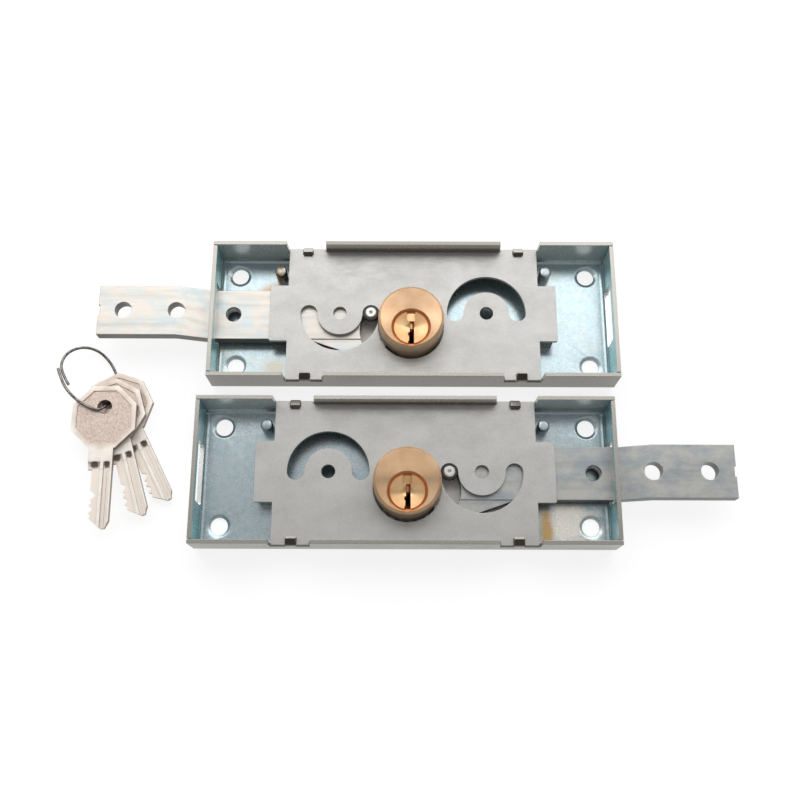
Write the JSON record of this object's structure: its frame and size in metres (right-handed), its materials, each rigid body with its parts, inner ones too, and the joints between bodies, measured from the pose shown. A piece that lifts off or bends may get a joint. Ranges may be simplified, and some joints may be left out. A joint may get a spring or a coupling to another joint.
{
  "type": "rolling shutter side lock pair",
  "caption": "Left-hand and right-hand side locks for a rolling shutter: folded trays with a sliding strip bolt, a crank, a round brass cylinder, and keys on a ring.",
  "frame": {"origin": "centre of the left-hand lock's back face", "axes": "+X along the cases, away from the left-hand bolt's tip; +Y up the shutter; +Z out of the back, towards the keyholes"},
  "size_m": [0.2545, 0.1176, 0.019],
  "materials": {
    "zinc_plate": "zinc-plated, bluish",
    "steel_plate": "bare rolled steel, matte",
    "zinc_strip": "zinc-plated strip, rubbed",
    "bright_steel": "bright",
    "wheel_steel": "blanked, satin",
    "spring_steel": "spring steel",
    "black_roller": "black, hard plastic",
    "brass_body": "turned, brushed",
    "brass_plug": "turned, satin",
    "key_nickel": "nickel-plated, worn",
    "ring_wire": "drawn wire, bright"
  },
  "bodies": {
    "cases": {"left_case": "zinc_plate", "left_cover": "steel_plate", "left_pocket_posts": "bright_steel", "left_crank_pivot": "bright_steel", "left_cylinder_housing": "brass_body", "left_driver_pins": "brass_plug", "left_pin_springs": "spring_steel", "left_chamber_plugs": "brass_body", "left_cylinder_screws": "bright_steel", "right_case": "zinc_plate", "right_cover": "steel_plate", "right_pocket_posts": "bright_steel", "right_crank_pivot": "bright_steel", "right_cylinder_housing": "brass_body", "right_driver_pins": "brass_plug", "right_pin_springs": "spring_steel", "right_chamber_plugs": "brass_body", "right_cylinder_screws": "bright_steel", "key_ring": "ring_wire"},
    "left_barrel": {"left_plug": "brass_plug", "left_plug_retainer": "spring_steel", "left_key_pins": "brass_plug", "left_pinion": "wheel_steel"},
    "left_crank": {"left_crank_wheel": "wheel_steel", "left_crank_pin": "bright_steel"},
    "left_pin_roller": {"left_crank_roller": "black_roller"},
    "left_sliding_bolt": {"left_bolt": "zinc_strip"},
    "right_barrel": {"right_plug": "brass_plug", "right_plug_retainer": "spring_steel", "right_key_pins": "brass_plug", "right_pinion": "wheel_steel"},
    "right_crank": {"right_crank_wheel": "wheel_steel", "right_crank_pin": "bright_steel"},
    "right_pin_roller": {"right_crank_roller": "black_roller"},
    "right_sliding_bolt": {"right_bolt": "zinc_strip"},
    "first_key": {"key_1": "key_nickel"},
    "second_key": {"key_2": "key_nickel"},
    "third_key": {"key_3": "key_nickel"}
  },
  "joints": [
    {"name": "left_key_turn", "type": "hinge", "parent": "cases", "child": "left_barrel", "pos_m": [-0.00085, -0.0091, 0], "axis": [0, 0, 1], "range_deg": [0, 360]},
    {"name": "left_crank_turn", "type": "hinge", "parent": "cases", "child": "left_crank", "pos_m": [-0.0283, 0, 0], "axis": [0, 0, 1], "range_deg": [-180, 0]},
    {"name": "left_bolt_throw", "type": "slide", "parent": "cases", "child": "left_sliding_bolt", "axis": [-1, 0, 0], "range_m": [0, 0.024]},
    {"name": "left_roller_spin", "type": "hinge", "parent": "left_crank", "child": "left_pin_roller", "pos_m": [-0.0163, 0, 0], "axis": [0, 0, 1], "continuous": true},
    {"name": "right_key_turn", "type": "hinge", "parent": "cases", "child": "right_barrel", "pos_m": [-0.00215, -0.0717, 0], "axis": [0, 0, -1], "range_deg": [0, 360]},
    {"name": "right_crank_turn", "type": "hinge", "parent": "cases", "child": "right_crank", "pos_m": [0.0253, -0.0626, 0], "axis": [0, 0, -1], "range_deg": [-180, 0]},
    {"name": "right_bolt_throw", "type": "slide", "parent": "cases", "child": "right_sliding_bolt", "axis": [1, 0, 0], "range_m": [0, 0.024]},
    {"name": "right_roller_spin", "type": "hinge", "parent": "right_crank", "child": "right_pin_roller", "pos_m": [0.0133, -0.0626, 0], "axis": [0, 0, 1], "continuous": true},
    {"name": "first_key_swing", "type": "hinge", "parent": "cases", "child": "first_key", "pos_m": [-0.1165, -0.0375, 0], "axis": [0, 0, 1], "range_deg": [-20, 20]},
    {"name": "second_key_swing", "type": "hinge", "parent": "cases", "child": "second_key", "pos_m": [-0.1156, -0.0348, 0], "axis": [0, 0, 1], "range_deg": [-20, 15]},
    {"name": "third_key_swing", "type": "hinge", "parent": "cases", "child": "third_key", "pos_m": [-0.1143, -0.032, 0], "axis": [0, 0, 1], "range_deg": [-20, 10]}
  ],
  "couplings": [
    {"joint": "left_key_turn", "follows": "left_bolt_throw", "rad_per_m": 261.8},
    {"joint": "left_crank_turn", "follows": "left_bolt_throw", "rad_per_m": -130.9},
    {"joint": "right_key_turn", "follows": "right_bolt_throw", "rad_per_m": 261.8},
    {"joint": "right_crank_turn", "follows": "right_bolt_throw", "rad_per_m": -130.9}
  ]
}
